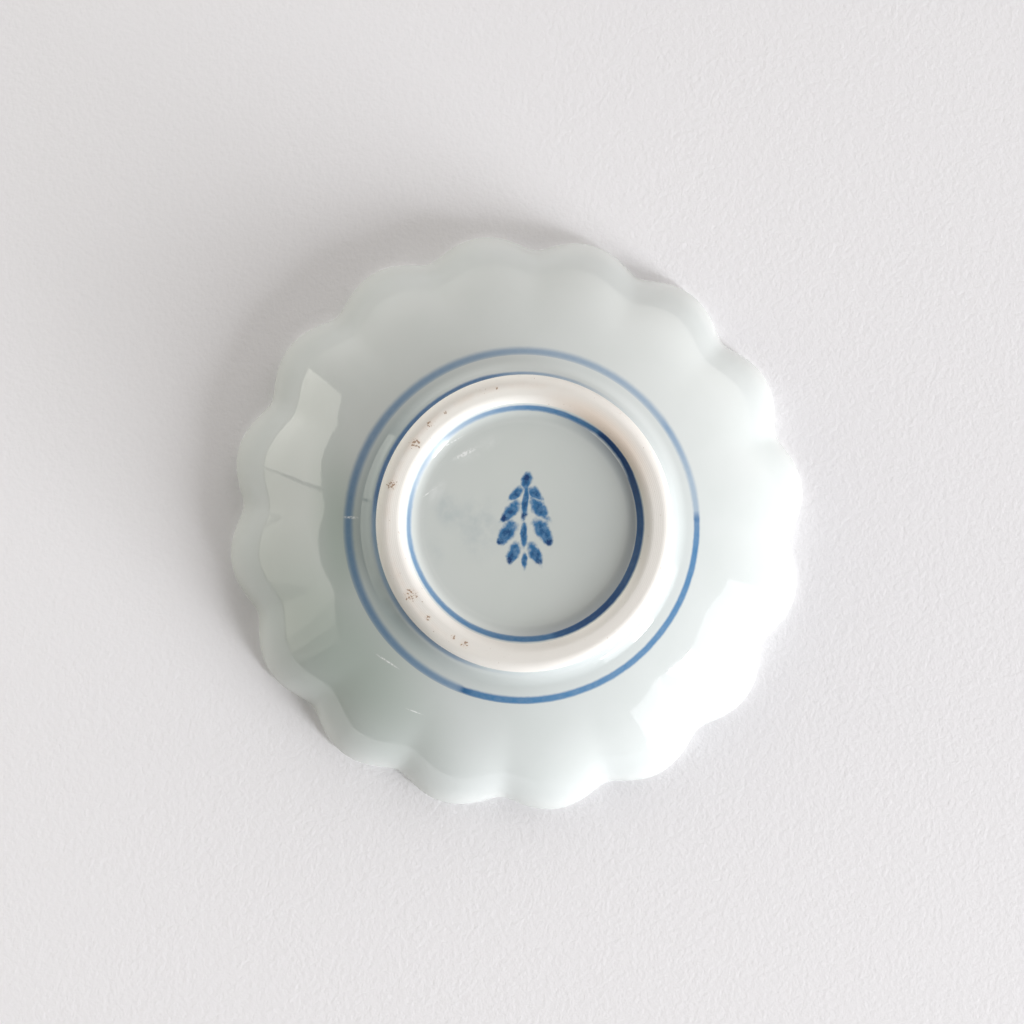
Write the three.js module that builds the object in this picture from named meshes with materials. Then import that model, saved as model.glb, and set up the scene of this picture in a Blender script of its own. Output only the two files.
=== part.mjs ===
// A small porcelain sauce dish with a lobed wall, a foot ring with a bare lip, a celadon glaze
// and three banded cobalt lines. Millimetres, +Z up, the origin at the middle of the foot's base.
// Each piece is drawn as a section, radius across and height up, and revolved about Z.
// The wall is then pressed into lobes, which fade out above the wall line.

import * as THREE from 'three';

// Driving dimensions of the wall and rim
const RIM_RADIUS = 50;
const HEIGHT = 21.5;
const WALL_THICKNESS = 2.2;
const WALL_START_TILT = THREE.MathUtils.degToRad(20);
const RIM_TILT = THREE.MathUtils.degToRad(65);
const WALL_START_PULL = 9;
const RIM_PULL = 11;
const INSIDE_FLOOR_ROUND = 20;

// Driving dimensions of the lobes
const LOBES = 16;
const LOBE_DEPTH = 2.5;
const NOTCH_SOFTNESS = 0.234;
const LOBE_GROWTH = 1.15;
const LOBE_FADE_GAP = 0.3;

// Driving dimensions of the foot
const FOOT_HEIGHT = 4.1;
const BEARING_RADIUS = 22.35;
const BEARING_WIDTH = 1.3;
const OUTER_LIP_ROUND = 2;
const OUTER_FOOT_TILT = THREE.MathUtils.degToRad(68);
const FOOT_FILLET = 4.6;
const INNER_LIP_ROUND = 1.9;
const INNER_FOOT_TILT = THREE.MathUtils.degToRad(58);
const RECESS_DEPTH = 2.6;
const RECESS_FILLET = 3.2;
const SEAT_BELOW_RECESS = 0.4;

// Driving dimensions of the glaze and the painted lines
const GLAZE_THICKNESS = 0.3;
const GLAZE_CLEARANCE = 0.2;
const LINE_SEAM = 0.1;
const FOOT_OUTER_LINE_WIDTH = 1.2;
const FOOT_INNER_LINE_WIDTH = 0.9;
const WALL_LINE_RISE = 1.2;
const WALL_LINE_WIDTH = 1.3;

// Fineness of the facets
const FACETS_PER_LOBE = 6;
const ROUND_FACETS = 40;
const LIP_STEPS = 3;
const FILLET_STEPS = 3;
const WALL_STEPS = 7;
const RIM_EDGE_STEPS = 1;
const RIM_TOP_STEPS = 2;
const INSIDE_STEPS = 4;
const FLOOR_STEPS = 1;

// The outward normal of a surface that is tilted so far from lying level and facing down
function normalAt(tilt) {
  return new THREE.Vector2(Math.sin(tilt), -Math.cos(tilt));
}

function shifted(point, normal, distance) {
  return point.clone().addScaledVector(normal, distance);
}

function last(stretch) {
  return stretch[stretch.length - 1];
}

// An arc of a section from a starting point, as points with their outward normals.
// A positive radius is a round edge, and a negative one is a fillet.
function bend(start, radius, fromTilt, toTilt, steps) {
  const centre = shifted(start, normalAt(fromTilt), -radius);
  return Array.from({ length: steps + 1 }, (_, step) => {
    const normal = normalAt(THREE.MathUtils.lerp(fromTilt, toTilt, step / steps));
    return { point: shifted(centre, normal, radius), normal };
  });
}

// A foot wall in section: its round bare lip, then the glazed wall with the fillet at its root
function footWall(bearingEdge, side, lipRound, tilt, fillet, endTilt, endHeight) {
  const lip = bend(bearingEdge, lipRound, 0, side * tilt, LIP_STEPS);
  const edge = last(lip);
  const room = endHeight - edge.point.y;
  const turn = Math.cos(endTilt) - Math.cos(tilt);
  const rootFillet = Math.min(fillet, room / turn);
  const straightHeight = room - rootFillet * turn;
  const straightRun = (side * straightHeight) / Math.tan(tilt);
  const straightEnd = edge.point.clone().add(new THREE.Vector2(straightRun, straightHeight));
  const root = bend(straightEnd, -rootFillet, side * tilt, side * endTilt, FILLET_STEPS);
  return { lip, glazed: [edge, ...root] };
}

const outerBearingEdge = new THREE.Vector2(BEARING_RADIUS + BEARING_WIDTH / 2, 0);
const innerBearingEdge = new THREE.Vector2(BEARING_RADIUS - BEARING_WIDTH / 2, 0);
const outerFoot = footWall(
  outerBearingEdge, 1, OUTER_LIP_ROUND, OUTER_FOOT_TILT, FOOT_FILLET, WALL_START_TILT, FOOT_HEIGHT,
);
const innerFoot = footWall(
  innerBearingEdge, -1, INNER_LIP_ROUND, INNER_FOOT_TILT, RECESS_FILLET, 0, RECESS_DEPTH,
);

// The wall's outside is one curve from the root of the foot to the rim, which ends in a full round
const rimRound = WALL_THICKNESS / 2;
const wallStart = last(outerFoot.glazed).point;
const rimCentre = new THREE.Vector2(RIM_RADIUS - rimRound, HEIGHT - rimRound);
const wallEnd = shifted(rimCentre, normalAt(RIM_TILT), rimRound);
const wallStartPull = new THREE.Vector2(Math.cos(WALL_START_TILT), Math.sin(WALL_START_TILT));
const rimPull = new THREE.Vector2(Math.cos(RIM_TILT), Math.sin(RIM_TILT));
const wallCurve = new THREE.CubicBezierCurve(
  wallStart,
  shifted(wallStart, wallStartPull, WALL_START_PULL),
  shifted(wallEnd, rimPull, -RIM_PULL),
  wallEnd,
);

function wallSurface(steps, inset) {
  return Array.from({ length: steps + 1 }, (_, step) => {
    const along = wallCurve.getTangent(step / steps);
    const normal = new THREE.Vector2(along.y, -along.x);
    return { point: shifted(wallCurve.getPoint(step / steps), normal, -inset), normal };
  });
}

// The glazed surfaces in section: from the outer edge of the bare lip over the rim to the middle
// of the inside, and from the inner edge of the bare lip to the middle of the recess
const insideWall = wallSurface(INSIDE_STEPS, WALL_THICKNESS)
  .reverse()
  .map(({ point, normal }) => ({ point, normal: normal.clone().negate() }));
const insideFloor = bend(
  last(insideWall).point, -INSIDE_FLOOR_ROUND, Math.PI + WALL_START_TILT, Math.PI, FLOOR_STEPS,
);
const rimOuter = bend(wallEnd, rimRound, RIM_TILT, Math.PI / 2, RIM_EDGE_STEPS);
const rimTop = bend(last(rimOuter).point, rimRound, Math.PI / 2, Math.PI, RIM_TOP_STEPS);
const rimInner = bend(last(rimTop).point, rimRound, Math.PI, Math.PI + RIM_TILT, RIM_EDGE_STEPS);
const outsideSurface = [
  ...outerFoot.glazed,
  ...wallSurface(WALL_STEPS, 0).slice(1),
  ...rimOuter.slice(1),
  ...rimTop.slice(1),
  ...rimInner.slice(1),
  ...insideWall.slice(1),
  ...insideFloor.slice(1),
  { point: new THREE.Vector2(0, last(insideFloor).point.y), normal: normalAt(Math.PI) },
];
const recessSurface = [
  ...innerFoot.glazed,
  { point: new THREE.Vector2(0, RECESS_DEPTH), normal: normalAt(0) },
];

function lengthOf(surface) {
  return surface.slice(1).reduce((sum, { point }, i) => sum + point.distanceTo(surface[i].point), 0);
}

// The stretch of a surface between two distances along it
function stretchOf(surface, from, to) {
  const stretch = [];
  let start = 0;
  surface.slice(1).forEach((next, i) => {
    const here = surface[i];
    const span = next.point.distanceTo(here.point);
    const enter = Math.max(0, (from - start) / span);
    const leave = Math.min(1, (to - start) / span);
    if (enter < 1 && leave > 0) {
      if (stretch.length === 0) stretch.push(between(here, next, enter));
      stretch.push(between(here, next, leave));
    }
    start += span;
  });
  return stretch;
}

function between(here, next, share) {
  return {
    point: here.point.clone().lerp(next.point, share),
    normal: here.normal.clone().lerp(next.normal, share).normalize(),
  };
}

function inset(surface, depth) {
  return surface.map(({ point, normal }) => shifted(point, normal, -depth));
}

// The height at which the lobes begin to press the wall in
const rootDistance = lengthOf(outerFoot.glazed);
const wallLineStart = rootDistance + WALL_LINE_RISE;
const wallLineEnd = wallLineStart + WALL_LINE_WIDTH;
const lobeStart = last(stretchOf(outsideSurface, 0, wallLineEnd)).point.y + LOBE_FADE_GAP;

// How far out of its notches the lobed outline stands, from 0 in a notch to 1 at a lobe's tip
function lobeShare(angle) {
  const wave = Math.hypot(Math.cos((LOBES * angle) / 2), NOTCH_SOFTNESS);
  return (wave - NOTCH_SOFTNESS) / (Math.hypot(1, NOTCH_SOFTNESS) - NOTCH_SOFTNESS);
}

// How far the wall is pressed in at this height and angle
function pressAt(height, angle) {
  const rise = THREE.MathUtils.clamp((height - lobeStart) / (HEIGHT - rimRound - lobeStart), 0, 1);
  return LOBE_DEPTH * rise ** LOBE_GROWTH * (1 - lobeShare(angle));
}

function pressLobes(geometry) {
  const places = geometry.getAttribute('position');
  const place = new THREE.Vector3();
  for (let i = 0; i < places.count; i += 1) {
    place.fromBufferAttribute(places, i);
    const radius = Math.hypot(place.x, place.y);
    const angle = Math.atan2(place.y, place.x);
    const pressed = radius > 0 ? radius - pressAt(place.z, angle) : 0;
    places.setXY(i, pressed * Math.cos(angle), pressed * Math.sin(angle));
  }
  return geometry;
}

// A section is revolved with its solid on the left, whichever way round it was drawn
function revolve(section, facets) {
  const outline = THREE.ShapeUtils.isClockWise(section) ? section.slice().reverse() : section;
  const reachesAxis = outline[0].x === 0 && last(outline).x === 0;
  const loop = reachesAxis ? outline : [...outline, outline[0]];
  return new THREE.LatheGeometry(loop, facets, Math.PI / 2).rotateX(Math.PI / 2);
}

// A coat of glaze over a stretch of surface
function coat(surface, from, to) {
  const stretch = stretchOf(surface, from + LINE_SEAM / 2, to - LINE_SEAM / 2);
  return [...inset(stretch, GLAZE_THICKNESS).reverse(), ...inset(stretch, 0)];
}

// The porcelain lies under the glaze, and its outline is cut level at the seat of the foot ring
const bodyDepth = GLAZE_THICKNESS + GLAZE_CLEARANCE;
const seatHeight = RECESS_DEPTH + bodyDepth - SEAT_BELOW_RECESS;
const outsideBody = inset(outsideSurface, bodyDepth);
const recessBody = inset(recessSurface, bodyDepth);

function seatCrossing(outline) {
  const above = outline.findIndex((point) => point.y > seatHeight);
  const share = (seatHeight - outline[above - 1].y) / (outline[above].y - outline[above - 1].y);
  const crossing = outline[above - 1].clone().lerp(outline[above], share);
  return { below: outline.slice(0, above), crossing, above: outline.slice(above) };
}

const outsideCut = seatCrossing(outsideBody);
const recessCut = seatCrossing(recessBody);

function bowlSection() {
  return [
    ...recessCut.above.slice().reverse(),
    recessCut.crossing,
    outsideCut.crossing,
    ...outsideCut.above,
  ];
}

function footRingSection() {
  return [
    ...inset(outerFoot.lip, 0),
    ...outsideCut.below,
    outsideCut.crossing,
    recessCut.crossing,
    ...recessCut.below.slice().reverse(),
    ...inset(innerFoot.lip, 0).reverse(),
  ];
}

function wallGlazeSection() {
  const wholeLength = lengthOf(outsideSurface);
  return coat(outsideSurface, wallLineEnd, wholeLength + LINE_SEAM / 2);
}

function recessGlazeSection() {
  const wholeLength = lengthOf(recessSurface);
  return coat(recessSurface, FOOT_INNER_LINE_WIDTH, wholeLength + LINE_SEAM / 2);
}

const porcelain = { color: 0xf1eee8, roughness: 0.55, metalness: 0 };
const bareLip = { color: 0xe6dfd3, roughness: 0.8, metalness: 0 };
const celadon = { color: 0xd3dad3, roughness: 0.12, metalness: 0 };
const cobalt = { color: 0x4a78ae, roughness: 0.15, metalness: 0 };

function piece(name, geometry, finish) {
  const mesh = new THREE.Mesh(geometry, new THREE.MeshStandardMaterial(finish));
  mesh.name = name;
  return mesh;
}

const lobedFacets = LOBES * FACETS_PER_LOBE;
const dish = new THREE.Group();
dish.add(
  piece('bowl', pressLobes(revolve(bowlSection(), lobedFacets)), porcelain),
  piece('foot_ring', revolve(footRingSection(), ROUND_FACETS), bareLip),
  piece('wall_glaze', pressLobes(revolve(wallGlazeSection(), lobedFacets)), celadon),
  piece('wall_line', revolve(coat(outsideSurface, wallLineStart, wallLineEnd), ROUND_FACETS), cobalt),
  piece(
    'foot_glaze',
    revolve(coat(outsideSurface, FOOT_OUTER_LINE_WIDTH, wallLineStart), ROUND_FACETS),
    celadon,
  ),
  piece('foot_outer_line', revolve(coat(outsideSurface, 0, FOOT_OUTER_LINE_WIDTH), ROUND_FACETS), cobalt),
  piece('foot_inner_line', revolve(coat(recessSurface, 0, FOOT_INNER_LINE_WIDTH), ROUND_FACETS), cobalt),
  piece('recess_glaze', revolve(recessGlazeSection(), ROUND_FACETS), celadon),
);

export default dish;
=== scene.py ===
"""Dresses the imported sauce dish: lobed porcelain, celadon glaze, a bare foot lip and cobalt lines.

The dish stands upright on its foot, as in its CAD frame. The photograph shows it lying face down,
so the camera looks up at its foot from below, and the table is a sheet of paper against its rim.
"""

import math

import bmesh
import bpy
from bpy.props import FloatProperty, FloatVectorProperty, IntProperty, PointerProperty
from bpy.types import Operator, Panel, PropertyGroup
from mathutils import Matrix, Vector, noise


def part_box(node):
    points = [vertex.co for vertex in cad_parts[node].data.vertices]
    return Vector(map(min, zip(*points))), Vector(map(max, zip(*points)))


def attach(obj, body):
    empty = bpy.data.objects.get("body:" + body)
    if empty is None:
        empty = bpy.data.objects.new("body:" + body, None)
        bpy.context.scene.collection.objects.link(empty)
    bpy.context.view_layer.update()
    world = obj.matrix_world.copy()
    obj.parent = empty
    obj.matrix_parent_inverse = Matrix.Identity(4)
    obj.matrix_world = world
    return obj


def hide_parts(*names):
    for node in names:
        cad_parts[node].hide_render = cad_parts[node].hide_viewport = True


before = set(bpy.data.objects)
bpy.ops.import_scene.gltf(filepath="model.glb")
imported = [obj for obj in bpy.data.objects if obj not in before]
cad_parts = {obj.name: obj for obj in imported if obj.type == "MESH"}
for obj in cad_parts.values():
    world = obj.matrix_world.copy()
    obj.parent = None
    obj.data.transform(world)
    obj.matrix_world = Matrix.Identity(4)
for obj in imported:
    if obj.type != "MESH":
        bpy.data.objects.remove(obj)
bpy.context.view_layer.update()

bl_info = {
    "name": "Celadon sauce dish",
    "version": (1, 0, 0),
    "blender": (4, 5, 0),
    "location": "View3D > Sidebar > Sauce dish",
    "description": "Builds a lobed celadon sauce dish round its packed CAD frame",
    "category": "Object",
}

MM = 0.001

# The part's angle of the photograph's right-hand direction
PHOTO_TURN = math.radians(30.15)
PHOTO_RIGHT = Vector((math.cos(PHOTO_TURN), math.sin(PHOTO_TURN), 0))
PHOTO_DOWN = Vector((-math.sin(PHOTO_TURN), math.cos(PHOTO_TURN), 0))
PHOTO_AWAY = Vector((0, 0, 1))

# The photograph's side and the middle of the dish's rim in it, in pixels
PICTURE_SIDE = 1024
RIM_IN_PICTURE = Vector((517.7, 523.4))

# Fineness of the spun meshes
FACETS_PER_LOBE = 20
LIP_STEPS = 14
FILLET_STEPS = 16
WALL_STEPS = 48
RIM_STEPS = 18
INSIDE_STEPS = 34
FLOOR_STEPS = 10
FLAT_STEPS = 8
HIDDEN_STEP = 3
SHARP_EDGE = math.radians(35)
MERGE_DISTANCE = 1e-7

# Seed of the hand's strays, so that every run makes the same dish
HAND_SEED = 16

# Width of the paper's lobed edge round the rim, beyond which the paper is plain
LOBED_EDGE = 4 * MM

# Light bent by the glaze, and the shine and least roughness of glazed and painted surfaces
GLAZE_IOR = 1.7
GLAZE_SHINE = 0.5
GLAZE_ROUGHNESS = 0.025
OUTER_LINE_SHINE = 0.4
INNER_LINE_SHINE = 0.12
INNER_LINE_ROUGHNESS = 0.2

# Two lit planes by the table: the angle in the photograph that each stands at, and its distance in m
WINDOW_PLANE = (36, 1.6)
PANEL_PLANE = (176, 0.8)

# Lamps in these planes, between two angles in the photograph and two heights in degrees above the paper
WINDOW_LAMPS = {
    "window": ((14, 57), (0.6, 35.4), 1.45),
    "window_sky": ((34, 44), (0.6, 35.4), 37.0),
    "window_side": ((17, 27), (12, 21), 15.0),
    "window_sill": ((19, 58), (0.6, 7), 6.3),
}
PANEL_LAMPS = {
    "panel_tip": ((143, 150), (1.3, 44), 0.38),
    "panel_end": ((150, 158), (1.3, 44), 0.85),
    "panel_near": ((158, 188), (1.3, 44), 1.22),
    "panel_far": ((189.5, 216), (1.3, 44), 1.46),
    "panel_foot": ((164, 216), (1.3, 20), 0.65),
}

# Soft glows of the room round the table: angle in the photograph, height above the paper, brightness
ROOM_GLOWS = (
    (30, 12, 0.5),
    (70, 12, 0.68),
    (240, 12, 1.34),
    (300, 12, 0.92),
    (330, 12, 1.05),
    (315, 40, 0.78),
)
GLOW_SHARPNESS = 6.0

# Nearest and farthest distance that the camera sees, in m
CAMERA_REACH = (0.01, 20)

PAPER_ROUGHNESS = 0.85
FLOOR_ROUGHNESS = 0.8

# Distance in mm from the axis to the inner line, against which the recess's glaze pools
RECESS_EDGE = 19.4

# Stretches round the foot, as angles in the photograph: start, end and softness of the ends
LIP_BLUSH = (130, 280, 30)
# A stain on the lip's inner side, partly real and partly painted shade
LIP_STAIN_AND_SHADE = (288, 338, 18)
# Stretches of the bare lip made lighter as painted light
PAINTED_LIGHT_OUTER_EDGE = (170, 285, 25)
PAINTED_LIGHT_INNER_EDGE = (22, 68, 14)
PAINTED_LIGHT_FLAT = (174, 272, 14)
# Side of the foot where the glaze pooled at the root is darkened further as painted shade
ROOT_SHADED_SIDE = (130, 230, 30)
# Side of the recess darkened along its edge as painted shade
RECESS_SHADED_SIDE = (300, 95, 25)
INNER_LINE_DIP = (306, 336, 10)

# Iron specks in the bare lip: angle in the photograph, distance from the axis and spread in mm
LIP_SPECKS = (
    (117, 22.4, 1.1),
    (122.5, 22.4, 0.7),
    (136, 22.5, 0.8),
    (148, 22.4, 1.7),
    (196, 23.2, 1.3),
    (216, 22.6, 1.4),
    (226, 22.9, 0.7),
    (234, 22.8, 0.5),
    (258, 23.0, 0.4),
)

# Scuffs in the glaze: middle to the photograph's right and down, turn in degrees, length and width
WALL_SCUFFS = (
    ((-29.05, -1.0), 2, 3.2, 0.65),
    ((-22.9, 23.2), 33, 6.0, 0.45),
    ((-18.2, 31.8), 20, 4.2, 0.3),
)
RECESS_SCUFFS = (
    ((-9.9, -11.7), -27, 6.0, 1.1),
    ((-15.9, -5.2), -35, 4.2, 0.35),
    ((-12.1, -13.6), -30, 5.2, 0.3),
)

# Painted shade: broad darker patches on one side of the underside: middle, turn in degrees, length, width
# and strength
PAINTED_SHADE_PATCHES = (
    ((-29.5, 22.3), 53, 54, 26, 1.0),
    ((-30.9, 3.0), 86, 40, 11, 1.0),
)

# Soft stains in the recess: middle, turn in degrees, length, width and strength, below 0 where pale
RECESS_STAINS = (
    ((-12.9, -2.2), 70, 9.5, 6.0, 0.55),
    ((-7.6, 0.6), 85, 15.0, 11.0, 0.5),
    ((-14.8, 4.5), 80, 6.5, 4.0, 0.25),
    ((-7.5, -12.5), -30, 11, 3.5, -0.30),
    ((-14.6, -5.2), -60, 6.5, 3.0, -0.35),
)

# A painted sprig: middle, turn in degrees, length, width and taper of each dab of the brush
SPRIG_DABS = (
    ((0.4, -7.1), -78, 3.0, 2.0, 0.2),
    ((0.1, -3.4), 96, 7.0, 1.3, 0.2),
    ((-1.5, -4.9), 140, 3.4, 1.7, -0.3),
    ((1.9, -5.0), 46, 3.4, 1.7, -0.3),
    ((-2.4, -2.0), 134, 4.8, 2.2, -0.3),
    ((2.6, -2.3), 50, 5.0, 2.3, -0.3),
    ((-3.0, 1.7), 126, 5.2, 2.6, -0.25),
    ((3.2, 1.5), 60, 5.4, 2.6, -0.25),
    ((-0.1, 1.8), 92, 5.0, 1.3, 0.1),
    ((-1.9, 5.0), 116, 4.2, 2.2, -0.2),
    ((1.8, 5.2), 64, 4.4, 2.3, -0.2),
    ((0.0, 6.2), 90, 3.0, 1.2, 0.0),
)
SPRIG_BLOTS = ((0.4, -7.6), (-3.9, 3.0), (4.1, 3.1), (-2.5, 6.2), (2.4, 6.5), (0.0, -1.2), (-3.3, -1.0))

# Cobalt lines: angle in the photograph, strength, depth, half width and softness of the edge in mm
WALL_LINE = (
    (0, 0.88, 0.1, 0.48, 0.22),
    (5, 0.95, 0.0, 0.52, 0.22),
    (60, 0.88, 0.0, 0.56, 0.24),
    (90, 0.93, 0.0, 0.6, 0.26),
    (106, 0.92, 0.1, 0.6, 0.28),
    (110, 1.0, 0.5, 0.5, 0.25),
    (111.5, 0.68, 0.08, 0.62, 0.46),
    (150, 0.68, 0.19, 0.66, 0.52),
    (210, 0.7, 0.15, 0.68, 0.52),
    (240, 0.72, 0.03, 0.64, 0.52),
    (270, 0.63, 0.0, 0.6, 0.5),
    (300, 0.61, 0.0, 0.6, 0.5),
    (322, 0.61, 0.0, 0.6, 0.5),
    (326, 0.75, 0.0, 0.56, 0.44),
    (345, 0.52, 0.0, 0.52, 0.42),
    (356.5, 0.5, 0.0, 0.5, 0.3),
    (358, 0.95, 0.35, 0.52, 0.22),
    (360, 0.88, 0.1, 0.48, 0.22),
)
# Besides the brush's changes, the outer line is left out where light falls and darkened in shade, as
# painted light and shade
OUTER_LINE_WITH_PAINTED_LIGHT = (
    (0, 0.0, 0.0, 0.5, 0.3),
    (85, 0.0, 0.0, 0.5, 0.3),
    (105, 0.15, 0.0, 0.55, 0.35),
    (118, 0.58, 0.2, 0.68, 0.4),
    (135, 0.62, 0.32, 0.7, 0.4),
    (165, 0.45, 0.1, 0.68, 0.4),
    (182, 0.58, 0.18, 0.7, 0.4),
    (192, 0.97, 0.6, 0.7, 0.35),
    (225, 0.95, 0.58, 0.68, 0.35),
    (255, 0.92, 0.5, 0.62, 0.35),
    (266, 0.66, 0.1, 0.5, 0.3),
    (288, 0.45, 0.05, 0.55, 0.35),
    (302, 0.15, 0.0, 0.5, 0.3),
    (318, 0.0, 0.0, 0.5, 0.3),
    (360, 0.0, 0.0, 0.5, 0.3),
)
# Besides the brush's changes, the inner line is paler where a reflection lies on it and darkest in shade,
# as painted light and shade
INNER_LINE_WITH_PAINTED_LIGHT = (
    (0, 1.0, 0.75, 0.55, 0.28),
    (30, 1.0, 0.8, 0.54, 0.28),
    (45, 1.0, 0.9, 0.5, 0.25),
    (60, 1.0, 0.85, 0.5, 0.25),
    (74, 1.0, 0.7, 0.48, 0.25),
    (77, 0.95, 0.3, 0.45, 0.25),
    (100, 0.92, 0.15, 0.45, 0.25),
    (120, 0.9, 0.08, 0.42, 0.25),
    (140, 0.84, 0.0, 0.4, 0.25),
    (165, 0.78, 0.0, 0.36, 0.22),
    (185, 0.68, 0.0, 0.34, 0.22),
    (203, 0.46, 0.0, 0.34, 0.26),
    (225, 0.46, 0.0, 0.34, 0.26),
    (252, 0.7, 0.0, 0.36, 0.22),
    (272, 0.88, 0.05, 0.38, 0.22),
    (300, 0.92, 0.25, 0.42, 0.25),
    (308, 0.95, 0.4, 0.42, 0.25),
    (311, 1.0, 1.0, 0.44, 0.25),
    (330, 1.0, 1.0, 0.48, 0.25),
    (345, 1.0, 0.85, 0.54, 0.28),
    (360, 1.0, 0.75, 0.55, 0.28),
)

# The wall line was banded a little beside the axis: its middle to the photograph's right and down
WALL_LINE_MIDDLE = (-0.08, 0.4)


def mm(name, description, default):
    """A length property, with its default in millimetres."""
    return FloatProperty(
        name=name, description=description, default=default * MM, unit="LENGTH", precision=5
    )


def degrees(name, description, default):
    """An angle property, with its default in degrees."""
    return FloatProperty(
        name=name, description=description, default=math.radians(default), subtype="ANGLE"
    )


def number(name, description, default):
    """A plain number property."""
    return FloatProperty(name=name, description=description, default=default)


def colour(name, description, default):
    """A linear colour property."""
    return FloatVectorProperty(
        name=name, description=description, default=default, subtype="COLOR", min=0, max=1
    )


class DishSizes(PropertyGroup):
    """Sizes of the dish, as its CAD solids have them."""

    rim_radius: mm("Rim radius", "Axis to a lobe's tip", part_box("wall_glaze")[1].x / MM)
    height: mm("Height", "Table to the top of the rim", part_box("wall_glaze")[1].z / MM)
    wall_thickness: mm("Wall thickness", "Wall with its glaze on both sides", 2.2)
    wall_start_tilt: degrees("Wall start tilt", "Slope of the wall at the foot", 20)
    rim_tilt: degrees("Rim tilt", "Slope of the wall at the rim", 65)
    wall_start_pull: mm("Wall start pull", "How long the wall keeps its first slope", 9)
    rim_pull: mm("Rim pull", "How long the wall keeps its last slope", 11)
    inside_floor_round: mm("Inside floor round", "Round between the inside's floor and wall", 20)
    lobes: IntProperty(name="Lobes", description="Lobes round the rim", default=16)
    lobe_depth: mm("Lobe depth", "How far a notch lies inside a tip at the rim", 2.5)
    notch_softness: number("Notch softness", "Roundness of the notches", 0.234)
    lobe_growth: number("Lobe growth", "How late the lobes grow up the wall", 1.15)
    lobe_fade_gap: mm("Lobe fade gap", "Plain wall between the wall line and the lobes", 0.3)
    foot_height: mm("Foot height", "Table to the wall's root", 4.1)
    bearing_radius: mm("Bearing radius", "Axis to the middle of the foot's flat", 22.35)
    bearing_width: mm("Bearing width", "Width of the foot's flat", 1.3)
    outer_lip_round: mm("Outer lip round", "Round of the lip's outer edge", 2)
    outer_foot_tilt: degrees("Outer foot tilt", "Slope of the foot's outside", 68)
    foot_fillet: mm("Foot fillet", "Fillet between foot and wall", 4.6)
    inner_lip_round: mm("Inner lip round", "Round of the lip's inner edge", 1.9)
    inner_foot_tilt: degrees("Inner foot tilt", "Slope of the foot's inside", 58)
    recess_depth: mm("Recess depth", "Depth of the recess inside the foot", 2.6)
    recess_fillet: mm("Recess fillet", "Fillet at the edge of the recess", 3.2)
    seat_below_recess: mm("Seat below recess", "Foot ring's seat below the recess floor", 0.4)
    glaze_thickness: mm("Glaze thickness", "Thickness of the coats of glaze", 0.3)
    glaze_clearance: mm("Glaze clearance", "Gap between the porcelain and its glaze", 0.03)
    outer_line_width: mm("Outer line width", "Glaze with the foot's outer line", 2.2)
    inner_line_width: mm("Inner line width", "Glaze with the foot's inner line", 1.8)
    outer_line_rise: mm("Outer line rise", "Bare lip's outer edge up to the line's middle", 0.6)
    inner_line_rise: mm("Inner line rise", "Bare lip's inner edge up to the line's middle", 0.85)
    inner_line_dip: mm("Inner line dip", "How far the inner line dips towards the lip", 0.3)
    wall_line_rise: mm("Wall line rise", "Root of the foot to the wall line's middle", 1.85)
    wall_line_width: mm("Wall line width", "Glaze with the wall line", 2.2)
    hand: mm("Hand", "How far the hand-made surface strays", 0.05)
    hand_scale: mm("Hand scale", "How broad the strays are", 11)


class DishColours(PropertyGroup):
    """Colours of the dish's finishes."""

    porcelain: colour("Porcelain", "White body under the glaze", (0.86, 0.84, 0.79))
    bare_lip: colour("Bare lip", "Unglazed lip of the foot", (0.706, 0.684, 0.646))
    # Lip blush is the fired lip's real blush, and also darkens its inner stain as painted shade
    lip_blush_and_shade: colour("Lip blush", "Warm blush of the fired bare lip", (0.64, 0.53, 0.44))
    lip_speck: colour("Lip speck", "Iron specks in the bare lip", (0.26, 0.15, 0.075))
    celadon: colour("Celadon", "Glaze at its usual depth", (0.561, 0.590, 0.580))
    # Deep celadon is both glaze where it has pooled and painted shade on the underside
    celadon_deep_and_shade: colour("Deep celadon", "Glaze where it has pooled", (0.425, 0.48, 0.445))
    celadon_thin: colour("Thin celadon", "Glaze where it has run thin", (0.70, 0.715, 0.69))
    # Celadon root is both glaze pooled round the foot and painted shade on one side of it
    celadon_root_and_shade: colour("Celadon root", "Glaze that has pooled round the foot", (0.325, 0.38, 0.385))
    stain: colour("Stain", "Soft stains in the recess", (0.40, 0.45, 0.46))
    # Painted shade in the recess, towards one side and along the edge there
    recess_shade: colour("Bleed", "Cobalt that has run into the edge of the recess", (0.27, 0.30, 0.335))
    recess: colour("Recess", "Glaze in the recess of the foot", (0.560, 0.588, 0.565))
    scuff: colour("Scuff", "Rubbed marks in the glaze", (0.80, 0.81, 0.80))
    cobalt: colour("Cobalt", "Painted lines at full strength", (0.042, 0.165, 0.335))
    cobalt_dark: colour("Dark cobalt", "Painted lines where the brush was full", (0.014, 0.045, 0.14))


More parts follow.
